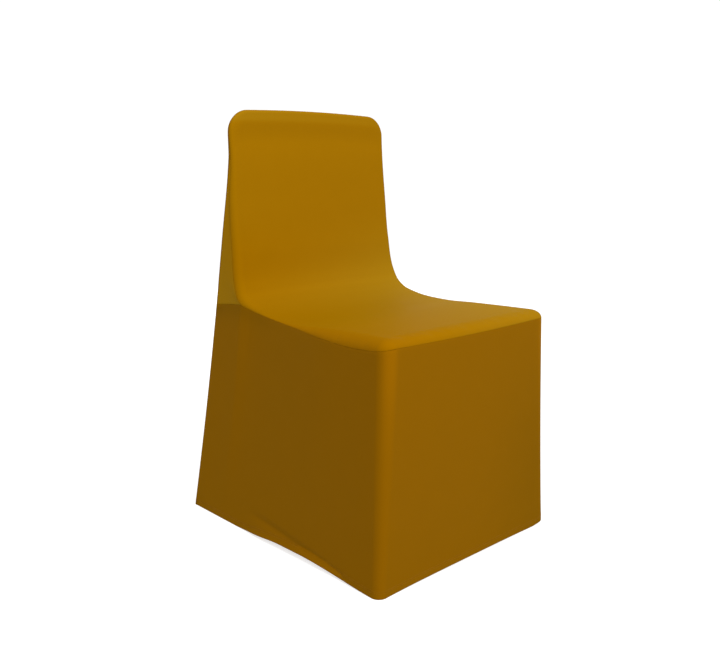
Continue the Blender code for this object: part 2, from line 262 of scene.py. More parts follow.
def ripple(along: np.ndarray, lengths: tuple, phase: float) -> np.ndarray:
    """Uneven wave: the mean of one sine for each wave length, out of step with one another."""
    waves = [np.sin(2 * math.pi * along / (length * MM) + phase * (i + 1) ** 2)
             for i, length in enumerate(lengths)]
    return sum(waves) / len(waves)


class Profile:
    """Line of sections down the middle of a panel, followed by its length."""

    def __init__(self, sections: tuple) -> None:
        """Take each column of the sections, and the length of the line up to each one.

        Args:
            sections: The sections from the top down.
        """
        self.columns = {key: np.array([getattr(s, key) for s in sections]) * MM
                        for key in ("y", "z", "half", "roll", "drop", "crown", "depth")}
        runs = np.hypot(np.diff(self.columns["y"]), np.diff(self.columns["z"]))
        self.knots = np.concatenate([[0.0], np.cumsum(runs)])
        self.length = float(self.knots[-1])

    def at(self, column: str, s: np.ndarray) -> np.ndarray:
        """A column's value at the length s."""
        return spline(self.knots, self.columns[column], s)

    def point(self, s: np.ndarray) -> tuple:
        """The line's y and z at the length s."""
        return self.at("y", s), self.at("z", s)

    def way(self, s: np.ndarray) -> tuple:
        """The unit vector down the line at the length s, as y and z."""
        small = 0.5 * MM
        dy = self.at("y", s + small) - self.at("y", s - small)
        dz = self.at("z", s + small) - self.at("z", s - small)
        size = np.hypot(dy, dz)
        return dy / size, dz / size

    def normal(self, s: np.ndarray) -> tuple:
        """The unit vector to the line's front or upper side, as y and z."""
        dy, dz = self.way(s)
        return dz, -dy


@dataclass
class CoverForm:
    """Shape of the stretched cover: the sizes that its panels share and their common seams."""

    top_arch: float = 5.2 * MM
    top_tilt: float = 1.8 * MM
    top_arch_reach: float = 150 * MM
    top_corner: float = 43 * MM
    top_roll: float = 5 * MM
    top_drop: float = 7 * MM
    rear_top_roll: float = 5 * MM
    rear_start_crown: float = 1 * MM
    rim_corner: float = 26 * MM
    rim_roll: float = 26 * MM
    rim_drop: float = 15.5 * MM
    rim_sag: float = 3.5 * MM
    web_start: float = 5 * MM
    web_rear_z: float = 448.5 * MM
    web_front_y: float = 131 * MM
    foot_samples: int = 1200
    edge_samples: int = 1500
    front: Profile = field(default_factory=lambda: Profile(FRONT_SECTIONS))

    def __post_init__(self) -> None:
        """Work out the rear profile, which follows on from the rolled top, and the web's foot."""
        s = self.front.knots[BACK_ROWS - 1]
        y, z = self.front.point(s)
        ny, nz = self.front.normal(s)
        depth = self.front.at("depth", s)
        start = Section("web start", float(y - ny * depth) / MM, float(z - nz * depth) / MM,
                        float(self.front.at("half", s)) / MM, self.rear_top_roll / MM,
                        float(depth - self.front.at("drop", s)) / MM,
                        self.rear_start_crown / MM, 0.0)
        self.tip = float(s)
        self.rear = Profile((start,) + REAR_SECTIONS)
        near = np.linspace(self.front.knots[BEND_ROW - 1], self.front.knots[SEAT_ROW],
                           self.foot_samples)
        edge = self.front_face(self.front.at("half", near), near)
        self.web_foot = float(near[np.argmin(np.abs(edge[:, 1] - self.web_front_y))])

    def arch(self, x: np.ndarray, s: np.ndarray, half: np.ndarray) -> np.ndarray:
        """How much lower than the middle the top of the back is at x.

        The square of x, and a tilt to the right, both fading with the square of the way down.
        """
        fade = np.clip(1 - s / self.top_arch_reach, 0, 1) ** 2
        return (self.top_arch * (x / half) ** 2 + self.top_tilt * x / half) * fade

    def front_face(self, x: np.ndarray, s: np.ndarray) -> np.ndarray:
        """Outer face of the seat and back panel at x across and s along it.

        The section's point, moved along the line's normal by a crown that falls with the square
        of x, less a quarter ellipse to the seam within the roll of any edge.
        """
        front = self.front
        half = front.at("half", s)
        upper = s < front.length / 2
        end = np.where(upper, s, front.length - s)
        radius = np.where(upper, self.top_corner, self.rim_corner)
        distance, share, _, _ = outline(x, end, half, radius)
        roll = front.at("roll", s)
        drop = front.at("drop", s)
        roll = roll + (np.where(upper, self.top_roll, self.rim_roll) - roll) * share
        rim_drop = self.rim_drop + self.rim_sag * (1 - (x / half) ** 2)
        drop = drop + (np.where(upper, self.top_drop, rim_drop) - drop) * share
        out = front.at("crown", s) * (1 - (x / half) ** 2) - drop * edge_arc(distance, roll)
        y, z = front.point(s + self.arch(x, s, half))
        ny, nz = front.normal(s + self.arch(x, s, half))
        return np.stack([x, y + ny * out, z + nz * out], -1)

    def front_inside(self, x: np.ndarray, s: np.ndarray) -> np.ndarray:
        """Direction in which the front face's seams turn in: away from the outline's way out."""
        front = self.front
        upper = s < front.length / 2
        end = np.where(upper, s, front.length - s)
        radius = np.where(upper, self.top_corner, self.rim_corner)
        _, _, out_x, out_end = outline(x, end, front.at("half", s), radius)
        wy, wz = front.way(s)
        along = np.where(upper, out_end, -out_end)
        return np.stack([-out_x, along * wy, along * wz], -1)

    def rear_top_face(self, x: np.ndarray, s: np.ndarray) -> np.ndarray:
        """Outer face of the rear panel where it closes the rolled top of the back.

        The front face's line, moved back by the depth, which falls to the front panel's drop
        along a quarter ellipse at the seam.
        """
        front = self.front
        half = front.at("half", s)
        distance, share, _, _ = outline(x, s, half, self.top_corner)
        drop = front.at("drop", s)
        drop = drop + (self.top_drop - drop) * share
        depth = spline(front.knots[:BACK_ROWS], front.columns["depth"][:BACK_ROWS], s)
        crown = self.rear_start_crown * (1 - (x / half) ** 2) * s / self.tip
        arc = edge_arc(distance, self.rear_top_roll)
        back = depth + (drop - depth) * arc + crown * (1 - arc)
        y, z = front.point(s + self.arch(x, s, half))
        ny, nz = front.normal(s + self.arch(x, s, half))
        return np.stack([x, y - ny * back, z - nz * back], -1)

    def rear_face(self, x: np.ndarray, r: np.ndarray) -> np.ndarray:
        """Outer face of the rear panel below the webs' start, at x across and r down it.

        The section's point, moved out by a crown that falls with the square of x, less a quarter
        ellipse to the seam.
        """
        rear = self.rear
        half = rear.at("half", r)
        y, z = rear.point(r)
        ny, nz = rear.normal(r)
        fall = rear.at("drop", r) * edge_arc(half - np.abs(x), rear.at("roll", r))
        out = rear.at("crown", r) * (1 - (x / half) ** 2) - fall
        return np.stack([x, y - ny * out, z - nz * out], -1)

    def rear_edge(self) -> tuple:
        """Fine steps down the rear panel, and the point of its right edge at each one."""
        r = np.linspace(0, self.rear.length, self.edge_samples)
        return r, self.rear_face(self.rear.at("half", r), r)

    def rear_edge_at(self, z: np.ndarray) -> np.ndarray:
        """Point of the rear panel's right edge at each height z."""
        _, edge = self.rear_edge()
        return np.stack([np.interp(-z, -edge[:, 2], edge[:, 0]),
                         np.interp(-z, -edge[:, 2], edge[:, 1]), z], -1)

    def rear_foot(self) -> float:
        """Length down the rear panel where the web's rear edge ends."""
        r, edge = self.rear_edge()
        return float(np.interp(-self.web_rear_z, -edge[:, 2], r))


def srgb(hex_colour: str) -> tuple:
    """Linear red, green, blue and alpha of an sRGB hex colour such as b8860b."""
    values = [int(hex_colour[i:i + 2], 16) / 255 for i in (0, 2, 4)]
    linear = [v / 12.92 if v <= 0.04045 else ((v + 0.055) / 1.055) ** 2.4 for v in values]
    return tuple(linear) + (1.0,)


def add_node(tree: bpy.types.NodeTree, kind: str, settings: dict = {}, values: dict = {},
             links: dict = {}) -> bpy.types.Node:
    """Add a shader node.

    Args:
        tree: The node tree.
        kind: The node's class name.
        settings: The node's own properties and their values.
        values: Input sockets and their constants.
        links: Input sockets and the output socket that feeds each one.

    Returns:
        The new node.
    """
    node = tree.nodes.new(kind)
    for name, value in settings.items():
        setattr(node, name, value)
    for name, value in values.items():
        node.inputs[name].default_value = value
    for name, source in links.items():
        tree.links.new(source, node.inputs[name])
    return node


def principled(name: str, values: dict) -> tuple:
    """Material with constants set on the sockets of its Principled shader.

    Args:
        name: Name of the material, for what it is.
        values: Input sockets and their constants.

    Returns:
        The material, its node tree and the shader.
    """
    material = bpy.data.materials.new(name)
    material.use_nodes = True
    tree = material.node_tree
    shader = tree.nodes["Principled BSDF"]
    for socket, value in values.items():
        shader.inputs[socket].default_value = value
    return material, tree, shader


def wave_scale(pitch: float) -> float:
    """Scale at which a wave texture's bands are a pitch apart."""
    return math.pi / 10 / pitch


@dataclass(frozen=True)
class StretchKnit:
    """Polyester and elastane jersey, circular knitted, piece dyed and heat set.

    It gives a smooth satin-matt face with fine wales along the cloth, a soft sheen towards
    grazing light, and slightly uneven dyeing. Light and shade are painted into its colour: where
    the panel's point attribute is above 0 it turns lighter and yellower as a painted highlight,
    and below 0 deeper as painted shade. The wales are drawn wider apart than they are assumed to
    be on the real cloth.
    """

    name: str
    face: str
    shade: str
    # Colour of the painted highlight, mixed in by the point attribute of painted light
    painted_light_colour: str
    wale: float = 1.5 * MM
    course: float = 1.2 * MM
    mottle: float = 45 * MM
    roughness: float = 0.7
    ior: float = 1.25
    shine: float = 0.05
    shine_tint: str = "fff000"
    sheen: float = 0.12
    sheen_spread: float = 0.45
    sheen_tint: str = "ffe600"
    course_share: float = 0.35
    loop_height: float = 0.12 * MM
    # Colour factors for painted shade in the grooves and a painted highlight on the crests
    groove_shade: float = 0.94
    crest_highlight: float = 1.03

    def material(self) -> bpy.types.Material:
        """Build the knit.

        Returns:
            A material that reads the panel's own UV map, in metres.
        """
        cloth, tree, shader = principled(self.name, {
            "Roughness": self.roughness, "IOR": self.ior, "Specular IOR Level": self.shine,
            "Specular Tint": srgb(self.shine_tint), "Sheen Weight": self.sheen,
            "Sheen Roughness": self.sheen_spread, "Sheen Tint": srgb(self.sheen_tint)})
        uv = add_node(tree, "ShaderNodeUVMap", {"uv_map": "cloth"}).outputs["UV"]
        # Uneven dyeing: soft patches a few centimetres across
        patches = add_node(tree, "ShaderNodeTexNoise", {},
                           {"Scale": 1 / self.mottle, "Detail": 3.0, "Roughness": 0.55},
                           {"Vector": uv})
        dye_and_light = add_node(tree, "ShaderNodeMix", {"data_type": "RGBA"},
                       {"A": srgb(self.shade), "B": srgb(self.face)},
                       {"Factor": patches.outputs["Fac"]})
        # Painted light and shade from a point attribute: lighter and yellower above 0, deeper below
        stretch = add_node(tree, "ShaderNodeAttribute", {"attribute_name": "stretch"})
        dye_and_light = add_node(tree, "ShaderNodeMix", {"data_type": "RGBA", "clamp_factor": False},
                       {"B": srgb(self.painted_light_colour)},
                       {"A": dye_and_light.outputs["Result"], "Factor": stretch.outputs["Fac"]})
        # Wales run down the cloth, and courses cross them as rows of loops
        wales = add_node(tree, "ShaderNodeTexWave", {"wave_type": "BANDS", "bands_direction": "X"},
                         {"Scale": wave_scale(self.wale), "Distortion": 0.6, "Detail": 1.0},
                         {"Vector": uv})
        courses = add_node(tree, "ShaderNodeTexWave", {"wave_type": "BANDS", "bands_direction": "Y"},
                           {"Scale": wave_scale(self.course), "Distortion": 0.8, "Detail": 1.0},
                           {"Vector": uv})
        loops = add_node(tree, "ShaderNodeMath", {"operation": "MULTIPLY_ADD"},
                         {1: self.course_share},
                         {0: courses.outputs["Fac"], 2: wales.outputs["Fac"]})
        bump = add_node(tree, "ShaderNodeBump",
                        values={"Strength": 0.25, "Distance": self.loop_height},
                        links={"Height": loops.outputs[0]})
        # Painted shade in the grooves between the wales, and a painted highlight on the crests
        groove_shade = add_node(tree, "ShaderNodeMapRange", 
                          values={"To Min": self.groove_shade, "To Max": self.crest_highlight},
                          links={"Value": loops.outputs[0]})
        colour = add_node(tree, "ShaderNodeMix", {"data_type": "RGBA", "blend_type": "MULTIPLY"},
                          {"Factor": 1.0},
                          {"A": dye_and_light.outputs["Result"], "B": groove_shade.outputs["Result"]})
        tree.links.new(colour.outputs["Result"], shader.inputs["Base Color"])
        tree.links.new(bump.outputs["Normal"], shader.inputs["Normal"])
        return cloth


@dataclass(frozen=True)
class SewingThread:
    """Spun polyester sewing thread, dyed to match: matt, with a fine twist."""

    name: str = "spun_polyester_thread"
    colour: str = "94630a"
    twist: float = 0.8 * MM

    def material(self) -> bpy.types.Material:
        """Build the thread.

        Returns:
            A material whose fine twist reads Object coordinates.
        """
        thread, tree, shader = principled(self.name, {
            "Base Color": srgb(self.colour), "Roughness": 0.7, "Specular IOR Level": 0.1})
        place = add_node(tree, "ShaderNodeTexCoord").outputs["Object"]
        twist = add_node(tree, "ShaderNodeTexWave", {"bands_direction": "DIAGONAL"},
                         {"Scale": wave_scale(self.twist)}, {"Vector": place})
        bump = add_node(tree, "ShaderNodeBump", values={"Strength": 0.3, "Distance": 0.05 * MM},
                        links={"Height": twist.outputs["Fac"]})
        tree.links.new(bump.outputs["Normal"], shader.inputs["Normal"])
        return thread


@dataclass
class Sheet:
    """A panel's outer face as a full grid, with the way in and the rows of its hem.

    The outermost ring of the grid is the seam line. The cloth leaves the face one step before
    it, rounds the seam line and turns in by the seam allowance. Below a hem it turns right back
    and goes up inside.
    """

    name: str
    grid: np.ndarray
    inside: np.ndarray
    hem_row: int = 0
    relief: np.ndarray | None = None
    # Painted light and shade at each point: lighter above 0, darker below
    stretch: np.ndarray | None = None
    turn: float = 0.8 * MM
    allowance: float = 6 * MM
    hem_gap: float = 1.8 * MM
    thickness: float = 0.8 * MM
    turn_steps: tuple = (0.35, 0.7, 1.0)

    def face(self) -> np.ndarray:
        """The grid without its outermost ring, moved out by the relief.

        Each point moves along the cross product of the steps down and to the right.
        """
        down = np.gradient(self.grid, axis=0)
        right = np.gradient(self.grid, axis=1)
        out = unit(np.cross(down, right))[1:-1, 1:-1]
        face = self.grid[1:-1, 1:-1]
        return face if self.relief is None else face + out * self.relief[1:-1, 1:-1, None]

    def border(self) -> tuple:
        """Rows and columns of the face's border, going down the left side and round."""
        rows, cols = self.grid.shape[0] - 2, self.grid.shape[1] - 2
        left = [(i, 0) for i in range(rows)]
        bottom = [(rows - 1, j) for j in range(1, cols)]
        right = [(i, cols - 1) for i in range(rows - 2, -1, -1)]
        top = [(0, j) for j in range(cols - 2, 0, -1)]
        loop = np.array(left + bottom + right + top)
        return loop[:, 0], loop[:, 1]

    def rings(self, face: np.ndarray) -> list:
        """Rings of points that turn the border in.

        A quadratic curve goes from the border round the seam line to a point inside, and one
        more ring ends the allowance or the hem. That last ring is reached in a straight line, so
        where the outer layer dents in further than the hem's gap, the inner one shows through.
        """
        rows, cols = face.shape[:2]
        i, j = self.border()
        line_i = i + 1 - (i == 0) + (i == rows - 1)
        line_j = j + 1 - (j == 0) + (j == cols - 1)
        start = face[i, j]
        line = self.grid[line_i, line_j]
        inside = self.inside[line_i, line_j]
        hem = ((i == rows - 1) & (self.hem_row > 0))[:, None]
        corner = hem & ((j == 0) | (j == cols - 1))[:, None]
        up = np.array([0.0, 0.0, 1.0])
        aim = np.where(hem, line + inside * self.hem_gap + up * self.turn,
                       line + inside * self.turn)
        last = np.where(hem, self.grid[self.hem_row, line_j] + inside * self.hem_gap,
                        line + inside * self.allowance)
        last = np.where(corner, line + inside * self.hem_gap + up * self.allowance, last)
        curve = [(1 - t) ** 2 * start + 2 * t * (1 - t) * line + t * t * aim
                 for t in self.turn_steps]
        return curve + [last]

    def build(self, material: bpy.types.Material) -> bpy.types.Object:
        """Make the mesh object, give it its UV map in metres and thicken it inwards.

        Args:
            material: The cloth.

        Returns:
            The object.
        """
        face = self.face()
        rows, cols = face.shape[:2]
        index = np.arange(rows * cols).reshape(rows, cols)
        cells = np.stack([index[:-1, :-1], index[1:, :-1], index[1:, 1:], index[:-1, 1:]], -1)
        quads = [cells.reshape(-1, 4)]
        i, j = self.border()
        inner = index[i, j]
        points = [face.reshape(-1, 3)]
        # Painted light and shade at each point, carried on to the turned rings
        light_amount = np.zeros((rows, cols)) if self.stretch is None else self.stretch[1:-1, 1:-1]
        light_amounts = [light_amount.ravel()]
        uv = flat_map(face)
        flat = [uv.reshape(-1, 2)]
        for number, ring in enumerate(self.rings(face)):
            outer = rows * cols + number * len(i) + np.arange(len(i))
            quads.append(np.stack([inner, outer, np.roll(outer, -1), np.roll(inner, -1)], -1))
            points.append(ring)
            flat.append(uv[i, j])
            light_amounts.append(light_amount[i, j])
            inner = outer
        piece = mesh_object(self.name, np.concatenate(points), np.concatenate(quads), material,
                            np.concatenate(flat))
        # Stored as a point attribute of painted light and shade, which the knit's colour reads
        layer = piece.data.attributes.new("stretch", "FLOAT", "POINT")
        layer.data.foreach_set("value", np.concatenate(light_amounts).astype(np.float32))
        cloth = piece.modifiers.new("Cloth thickness", "SOLIDIFY")
        cloth.thickness = self.thickness
        cloth.offset = -1
        return piece


def flat_map(face: np.ndarray) -> np.ndarray:
    """Flat coordinates of a grid in metres.

    Across, the running length of each row from its middle column. Down, the running length of
    the middle column.
    """
    steps = np.linalg.norm(np.diff(face, axis=1), axis=-1)
    across = np.concatenate([np.zeros((len(face), 1)), np.cumsum(steps, axis=1)], 1)
    middle = face.shape[1] // 2
    across = across - across[:, middle:middle + 1]
    runs = np.linalg.norm(np.diff(face[:, middle], axis=0), axis=-1)
    down = -np.concatenate([[0.0], np.cumsum(runs)])
    return np.stack([across, np.broadcast_to(down[:, None], across.shape)], -1)


def lengths_in(grid: np.ndarray) -> tuple:
    """Length over the surface from the left, right, top and bottom edges to each point."""
    across = np.linalg.norm(np.diff(grid, axis=1), axis=-1)
    left = np.concatenate([np.zeros((len(grid), 1)), np.cumsum(across, axis=1)], 1)
    down = np.linalg.norm(np.diff(grid, axis=0), axis=-1)
    top = np.concatenate([np.zeros((1, grid.shape[1])), np.cumsum(down, axis=0)], 0)
    return left, left[:, -1:] - left, top, top[-1:] - top


def mesh_object(name: str, points: np.ndarray, quads: np.ndarray, material: bpy.types.Material,
                flat: np.ndarray | None = None) -> bpy.types.Object:
    """Mesh object from points and four-cornered faces, shaded smooth, with an optional UV map.

    Args:
        name: Name of the object.
        points: One row of x, y, z for each point.
        quads: One row of four point numbers for each face.
        material: The finish.
        flat: One row of flat coordinates for each point.

    Returns:
        The object, linked to the scene.
    """
    mesh = bpy.data.meshes.new(name)
    mesh.from_pydata(points.tolist(), [], quads.tolist())
    mesh.shade_smooth()
    mesh.materials.append(material)
    if flat is not None:
        layer = mesh.uv_layers.new(name="cloth")
        layer.data.foreach_set("uv", flat[quads.ravel()].astype(np.float32).ravel())
    piece = bpy.data.objects.new(name, mesh)
    bpy.context.scene.collection.objects.link(piece)
    return piece


def pucker(distance: np.ndarray, along: np.ndarray, height: float, phase: float) -> np.ndarray:
    """Small waves that stand square to a seam.

    They rise from the seam to their full height a few millimetres in and die away, with an
    uneven wave along the seam whose strength comes and goes.

    Args:
        distance: Length over the surface from the seam.
        along: Length along the seam.
        height: Height of the waves.
        phase: Where the waves start.

    Returns:
        How far out each point moves.
    """
    swell = distance / PUCKER_REACH * np.exp(1 - distance / PUCKER_REACH)
    strength = STRENGTH_MEAN + (1 - STRENGTH_MEAN) * ripple(along, STRENGTH_WAVES, phase)
    return height * swell ** PUCKER_POWER * strength * ripple(along, PUCKER_WAVES, phase)


def gathered(y: np.ndarray) -> np.ndarray:
    """How strongly the side seam is gathered at y: 1 at the middle of the gathers."""
    return bell((y - GATHER_Y) / GATHER_LENGTH)


def dress_cloth(piece: bpy.types.Object, node: str) -> None:
    """Attach a panel to the cover's body and hide the CAD node that it stands for.

    Args:
        piece: The panel.
        node: Name of the CAD node.
    """
    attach(piece, "root")
    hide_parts(node)


@dataclass
class SeatBackPanel:
    """One length of cloth over the top of the back, down its front and along the seat."""

    form: CoverForm
    material: bpy.types.Material
    name: str = "seat_back_knit"
    flat: tuple = (0.476, 0.805)
    area: float = 0.361
    step: float = 4.6 * MM
    rail: float = 26 * MM
    rail_proud: float = 2.7 * MM
    rail_bend: float = 1.2 * MM
    rail_ease: float = 40 * MM
    unevenness: float = 0.7 * MM
    # Painted highlight on the seat's right side, over the curve at its rear and along the top strip
    curve_reach: float = 85 * MM
    seat_light: float = 0.05
    seat_slope: float = 0.65
    curve_light: float = 0.45
    rail_light: float = 0.45
    rail_slope: float = 0.2
    rail_fade: float = 0.4
    side_share: float = 0.14
    gather_share: float = 1.1
    rim_share: float = 0.16
    top_share: float = 0.12
    top_right_share: float = 0.35
    top_right_width: float = 100 * MM
    above_seat: float = 500 * MM
    roll_top: float = 460 * MM
    rim_place: float = 15 * MM
    rim_width: float = 11 * MM
    side_place: float = 11 * MM
    side_width: float = 8 * MM
    seam_ease: float = 3 * MM
    rim_waves: tuple = (83, 49, 31)
    side_waves: tuple = (61, 37, 24)
    edge_steps: tuple = (0, 0.05, 0.25, 0.7, 1.4, 2.4, 3.7, 5.2, 7, 9, 11.5, 14, 17, 20, 23.5, 27,
                         31, 35, 39, 43)
    top_steps: tuple = (0, 0.08, 0.3, 0.8, 1.6, 2.8, 4.5, 6.5, 9, 12, 15.5, 19, 23, 27, 31, 35,
                        39, 43)
    rim_steps: tuple = (26, 22.5, 19, 15.8, 12.8, 10, 7.6, 5.5, 3.8, 2.4, 1.3, 0.6, 0.2, 0.05, 0)

    def build(self) -> bpy.types.Object:
        """Make the panel.

        Returns:
            The panel's object.
        """
        form, front = self.form, self.form.front
        rim = front.length - np.asarray(self.rim_steps) * MM
        top = np.asarray(self.top_steps) * MM
        s = joined([top, spaced(form.top_corner, rim[0], self.step), rim])[:, None]
        half = front.at("half", s)
        x = columns(half, self.edge_steps, self.step)
        upper = s + 0 * x < front.length / 2
        top_x, top_s = rounded(x, s + 0 * x, half, form.top_corner)
        rim_x, rim_end = rounded(x, front.length - s + 0 * x, half, form.rim_corner)
        s = np.where(upper, top_s, front.length - rim_end)
        x = np.where(upper, top_x, rim_x) + front.at("half", s) - half
        x = np.concatenate([-x, x[:, :-1][:, ::-1]], 1)
        s = np.concatenate([s, s[:, :-1][:, ::-1]], 1)
        grid = form.front_face(x, s)
        sheet = Sheet(self.name, grid, form.front_inside(x, s), relief=self.relief(grid),
                      stretch=self.stretch(x, s))
        return sheet.build(self.material)

    def stretch(self, x: np.ndarray, s: np.ndarray) -> np.ndarray:
        """Painted highlight, most on the seat's right side and along the strip at the top.

        On the seat it rises evenly from left to right, with a bell over the curve at its rear,
        and fades out up the back. Along the top it ends at the rail's edge.
        """
        front = self.form.front
        u = x / front.at("half", s)
        back, bend, foot = (front.knots[row] for row in (BACK_ROWS, BEND_ROW + 1, BEND_ROW + 2))
        seat = smooth_step((s - back) / (bend - back))
        curve = bell((s - foot) / self.curve_reach)
        rail = 1 - smooth_step((s / self.rail - 1) / self.rail_fade + 1)
        light_amount = seat * (self.seat_light + self.seat_slope * u + self.curve_light * curve)
        return light_amount + rail * (self.rail_light - self.rail_slope * u)

    def relief(self, grid: np.ndarray) -> np.ndarray:
        """Puckers beside the seams, and the top rail's lower edge felt through the cloth.

        The puckers are stronger on the left of the seat near its front corner and on the right of
        the top seam, and the rolls along the rim and the seat's left edge swell unevenly. Over the
        rail the cloth rises evenly from the top seam to the rail's edge, bends there and eases
        back.
        """
        left, right, top, bottom = lengths_in(grid)
        x, y, z = np.moveaxis(grid, -1, 0)
        gather = self.side_share + self.gather_share * gathered(y) * (z < self.above_seat)
        top_right = self.top_right_share * smooth_step(x / self.top_right_width)
        relief = pucker(left, top, PUCKER_HEIGHT, 0.7) * gather
        relief += pucker(right, top, self.side_share * PUCKER_HEIGHT, 2.1)
        relief += pucker(bottom, left, self.rim_share * PUCKER_HEIGHT, 1.3)
        relief += pucker(top, left, PUCKER_HEIGHT, 4.0) * (self.top_share + top_right)
        rim = bell((bottom - self.rim_place) / self.rim_width) * ripple(left, self.rim_waves, 0.6)
        side = bell((left - self.side_place) / self.side_width) * ripple(top, self.side_waves, 1.7)
        relief += self.unevenness * (rim + side * (z < self.roll_top))
        bend = self.rail_bend * np.logaddexp(0, (self.rail - top) / self.rail_bend)
        ease = 1 - smooth_step((top - self.rail) / self.rail_ease)
        inwards = smooth_step(np.minimum(left, right) / self.rail)
        inwards = inwards * smooth_step(top / self.seam_ease)
        return relief + self.rail_proud * (1 - bend / self.rail) * ease * inwards

    def dress(self, piece: bpy.types.Object) -> None:
        dress_cloth(piece, "seat_back_panel")


@dataclass
class RearPanel:
    """The panel behind, from the top of the back to the floor."""

    form: CoverForm
    material: bpy.types.Material
    name: str = "rear_knit"
    flat: tuple = (0.521, 0.869)
    area: float = 0.406
    step: float = 5.5 * MM
    edge_steps: tuple = (0, 0.05, 0.25, 0.6, 1.1, 1.8, 2.8, 4, 5.5, 7.5, 10, 13, 17, 21.5, 26.5,
                         32, 37.5, 43)
    hem_steps: tuple = (18, 14.5, 11, 7.5, 4.5, 2.2, 0.8, 0)
    hem_clearance: float = 0.3 * MM
    level_height: float = 80 * MM

    def grid(self) -> tuple:
        """Points of the outer face seen from behind, and the way in at each one.

        Near the floor each column is shifted up or down so that the hem is level.
        """
        form, front, rear = self.form, self.form.front, self.form.rear
        top = np.asarray(self.edge_steps) * MM
        s = joined([top, spaced(form.top_corner, form.tip, self.step)])[:, None]
        half = front.at("half", s)
        x = columns(half, self.edge_steps, self.step)
        x, s = rounded(x, s + 0 * x, half, form.top_corner)
        x += front.at("half", s) - half
        _, _, out_x, out_end = outline(x, s, half, form.top_corner)
        wy, wz = front.way(s)
        turned = both_halves(np.stack([-out_x, out_end * wy, out_end * wz], -1))
        upper = np.concatenate([form.rear_top_face(-x, s),
                                form.rear_top_face(x, s)[:, :-1][:, ::-1]], 1)
        hem = rear.length - np.asarray(self.hem_steps) * MM
        r = joined([spaced(0, hem[0], self.step), hem])[1:, None]
        half = rear.at("half", r)
        inner_count = upper.shape[1] // 2 + 1 - len(self.edge_steps)
        inner = (half - form.top_corner) * np.linspace(1, 0, inner_count + 1)[1:]
        x = np.concatenate([half - top, inner], -1)
        right = form.rear_face(x, r + 0 * x)
        lower = both_halves(right)
        low = 1 - smooth_step(lower[..., 2] / self.level_height)
        lower[..., 2] += (self.hem_clearance - lower[-1, :, 2]) * low
        lower[-1, :, 2] = self.hem_clearance
        grid = np.concatenate([upper[:, ::-1], lower[:, ::-1]])
        side = np.zeros_like(lower)
        side[..., 0] = -np.sign(lower[..., 0])
        inside = np.concatenate([turned[:, ::-1], side[:, ::-1]])
        inside[-1] = (0.0, -1.0, 0.0)
        return grid, inside

    def build(self) -> bpy.types.Object:
        """Make the panel.

        Returns:
            The panel's object.
        """
        grid, inside = self.grid()
        sheet = Sheet(self.name, grid, inside, hem_row=len(grid) - HEM_ROWS,
                      relief=self.relief(grid))
        return sheet.build(self.material)

    def relief(self, grid: np.ndarray) -> np.ndarray:
        """Puckers beside the seams."""
        left, right, top, _ = lengths_in(grid)
        return (pucker(left, top, 0.14 * MM, 3.1) + pucker(right, top, 0.14 * MM, 5.2)
                + pucker(top, left, 0.12 * MM, 1.9))

    def dress(self, piece: bpy.types.Object) -> None:
        dress_cloth(piece, "rear_panel")


@dataclass
class Web:
    """Narrow three-cornered panel at the side of the back."""

    form: CoverForm
    side: Side
    material: bpy.types.Material
    flat: tuple = (0.095, 0.289)
    area: float = 0.0096
    rows: int = 64
    step_count: int = 26
    early: float = 0.85
    early_power: float = 3.35
    hollow: float = 1.5 * MM
    edge_places: tuple = (0, 0.008, 0.03)
    # Strength of the painted light that grows down the web
    light_amount: float = 0.8
    pucker_share: float = 0.12

    def build(self) -> bpy.types.Object:
        """Make the web.

        Straight lines between the front seam and the rear seam, hollowed by half a sine. Their
        front ends start far apart and come close together round the bend into the seat.

        Returns:
            The web's object.
        """
        form, front, rear = self.form, self.form.front, self.form.rear
        spread = np.linspace(0, 1, self.rows + 1)
        share = self.early * (1 - (1 - spread) ** self.early_power) + (1 - self.early) * spread
        start = form.tip + form.web_start
        s = start + (form.web_foot - start) * share
        r = form.web_start + (form.rear_foot() - form.web_start) * spread
        near = form.front_face(front.at("half", s), s)
        far = form.rear_face(rear.at("half", r), r)
        edge = np.asarray(self.edge_places)
        middle = np.linspace(edge[-1], 1 - edge[-1], self.step_count)
        t = np.concatenate([edge[:-1], middle, 1 - edge[-2::-1]])[None, :, None]
        grid = near[:, None] * (1 - t) + far[:, None] * t
        spread = spread[:, None]
        grid[..., 0] -= self.hollow * np.sin(math.pi * t[..., 0]) * spread
        if self.side is Side.LEFT:
            grid = grid[:, ::-1].copy()
            grid[..., 0] *= -1
        inside = np.zeros_like(grid)
        inside[..., 0] = -self.side.value
        left, right, top, _ = lengths_in(grid)
        height = self.pucker_share * PUCKER_HEIGHT
        relief = (pucker(left, top, height, 2.4) + pucker(right, top, height, 0.4)) * spread
        # The web is painted lighter towards its lower end
        sheet = Sheet(f"web_knit_{self.side.name.lower()}", grid, inside, relief=relief,
                      stretch=self.light_amount * spread + 0 * left, allowance=3 * MM, turn=0.6 * MM)
        return sheet.build(self.material)

    def dress(self, piece: bpy.types.Object) -> None:
        dress_cloth(piece, f"web_{self.side.name.lower()}")


